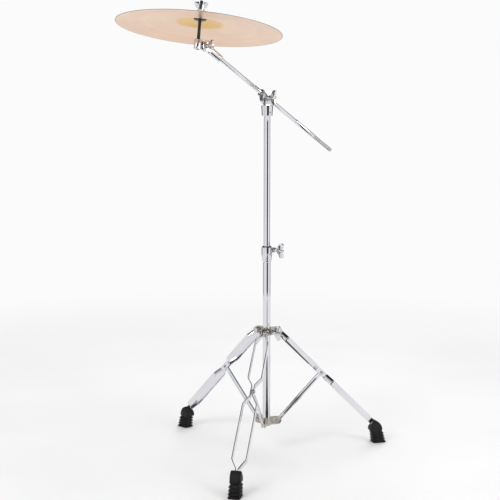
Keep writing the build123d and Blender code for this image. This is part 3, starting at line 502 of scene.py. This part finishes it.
def floor_paper():
    """Pale paper that turns into the studio's own white some way out, so no edge shows."""
    mat, shader, make, link = tree("pale_paper")
    where = make("ShaderNodeTexCoord").outputs["Object"]
    tone = noise_tex(make, link, where, 3, 3.0, 0.5)
    link(ramp(make, link, tone, (0.80, 0.80, 0.80), (0.83, 0.83, 0.83)), shader.inputs["Base Color"])
    link(spread(make, link, tone, 0.75, 0.9), shader.inputs["Roughness"])
    distance = make("ShaderNodeVectorMath", operation="LENGTH")
    link(where, distance.inputs[0])
    fade = make("ShaderNodeMapRange", interpolation_type="SMOOTHSTEP")
    fade.inputs["From Min"].default_value, fade.inputs["From Max"].default_value = PAPER_FADE
    link(distance.outputs["Value"], fade.inputs["Value"])
    glow = make("ShaderNodeEmission")
    glow.inputs["Color"].default_value = (PALE, PALE, PALE, 1)
    both = make("ShaderNodeMixShader")
    link(fade.outputs[0], both.inputs[0])
    link(shader.outputs[0], both.inputs[1])
    link(glow.outputs[0], both.inputs[2])
    show(mat, link, both.outputs[0])
    return mat


black = varied("black_card", (0.002, 0.002, 0.002), (0.006, 0.006, 0.006), (0.8, 0.9), 0, 3, 300, 0.02)
grey = varied("grey_card", (0.10, 0.10, 0.105), (0.16, 0.16, 0.17), (0.8, 0.9), 0, 3, 300, 0.02)
slab("floor", (80, 80), (0, 0, -0.001), floor_paper())
CARDS_HEIGHT = 0.55


def mirrored_only(obj):
    """Keep a card out of the picture and out of the lighting, so that only the chrome shows it."""
    obj.visible_camera = obj.visible_shadow = obj.visible_diffuse = False


def card(name, degrees, rise, distance, width, height, look):
    """Card facing the object from round and above it, seen only in the chrome."""
    a, e = math.radians(degrees), math.radians(rise)
    away = Vector((math.sin(a) * math.cos(e), -math.cos(a) * math.cos(e), math.sin(e)))
    obj = slab(name, (width, height), (0, 0, 0), look)
    obj.location = Vector((*MAST_BASE[:2], CARDS_HEIGHT)) + away * distance
    obj.rotation_euler = away.to_track_quat("Z", "Y").to_euler()
    mirrored_only(obj)


card("card_line", 16.0, -3, 2.3, 1.7, 0.86, black)
card("card_left_line", -58, 8, 2.3, 0.16, 2.6, grey)
card("card_above", -12, 42, 2.6, 3.0, 1.7, black)
card("card_far_right", 122, 6, 2.2, 1.3, 2.8, grey)
card("card_far_left", -122, 6, 2.2, 1.3, 2.8, grey)

# a small lit card before the wing nut on the stem, and a dark strip lying on the floor
mirrored_only(slab("card_lit", (0.24, 0.16), (-0.165, -0.40, 1.29), glow_card(), (math.radians(110), 0, 0)))
STRIP_TURN, STRIP_OUT = math.radians(13), 1.2
floor_line = slab("card_floor_line", (0.50, 1.9), (0, 0, 0), black)
floor_line.location = Vector(MAST_BASE) + Vector((STRIP_OUT * math.sin(STRIP_TURN),
                                                  -STRIP_OUT * math.cos(STRIP_TURN), 0.001))
floor_line.rotation_euler = (0, 0, STRIP_TURN)
mirrored_only(floor_line)


def area(name, location, target, size, power, mirrored=True):
    """Square soft light aimed at a point; one that isn't mirrored stays out of the chrome."""
    data = bpy.data.lights.new(name, "AREA")
    data.size = size
    data.energy = power
    obj = bpy.data.objects.new(name, data)
    obj.location = location
    obj.visible_glossy = mirrored
    obj.rotation_euler = (Vector(target) - Vector(location)).to_track_quat("-Z", "Y").to_euler()
    bpy.context.scene.collection.objects.link(obj)


area("key", (-1.9, -2.3, 2.6), (0, 0, 0.6), 1.5, 48)
area("fill", (2.3, -1.7, 1.9), (0, 0, 0.6), 1.3, 26)
area("back", (0.6, 2.4, 2.8), (0, 0, 0.8), 1.6, 34, mirrored=False)
area("wash", (0.0, 0.2, 4.2), (0, 0, 0), 3.4, 92, mirrored=False)

world = bpy.data.worlds.new("studio")
world.use_nodes = True
sky = world.node_tree
direction = sky.nodes.new("ShaderNodeTexCoord")
split = sky.nodes.new("ShaderNodeSeparateXYZ")
shade = sky.nodes.new("ShaderNodeValToRGB")
# pale walls all round and a darker ceiling
CEILING = (0.10, 0.10, 0.11, 1)
shade.color_ramp.elements[0].position = 0.0
shade.color_ramp.elements[0].color = (PALE, PALE, PALE, 1)
shade.color_ramp.elements[1].position = 0.80
shade.color_ramp.elements[1].color = CEILING
for rise, level in ((0.30, PALE), (0.48, 0.40)):
    stop = shade.color_ramp.elements.new(rise)
    stop.color = (level, level, level * 1.005, 1)
sky.links.new(direction.outputs["Generated"], split.inputs[0])
sky.links.new(split.outputs["Z"], shade.inputs[0])
sky.links.new(shade.outputs[0], sky.nodes["Background"].inputs["Color"])
sky.nodes["Background"].inputs["Strength"].default_value = 1.0
bpy.context.scene.world = world
bpy.context.scene.view_settings.view_transform = "Standard"

# ---------------------------------------------------------------- camera
CAMERA_DOWN = 7.79
camera_data = bpy.data.cameras.new("camera")
camera_data.lens = 70.6
camera_data.sensor_width = 36
camera = bpy.data.objects.new("camera", camera_data)
camera.location = (-0.0228, -2.4569, 0.8812)
camera.rotation_euler = (math.radians(90 - CAMERA_DOWN), 0, 0)
bpy.context.scene.collection.objects.link(camera)
bpy.context.scene.camera = camera
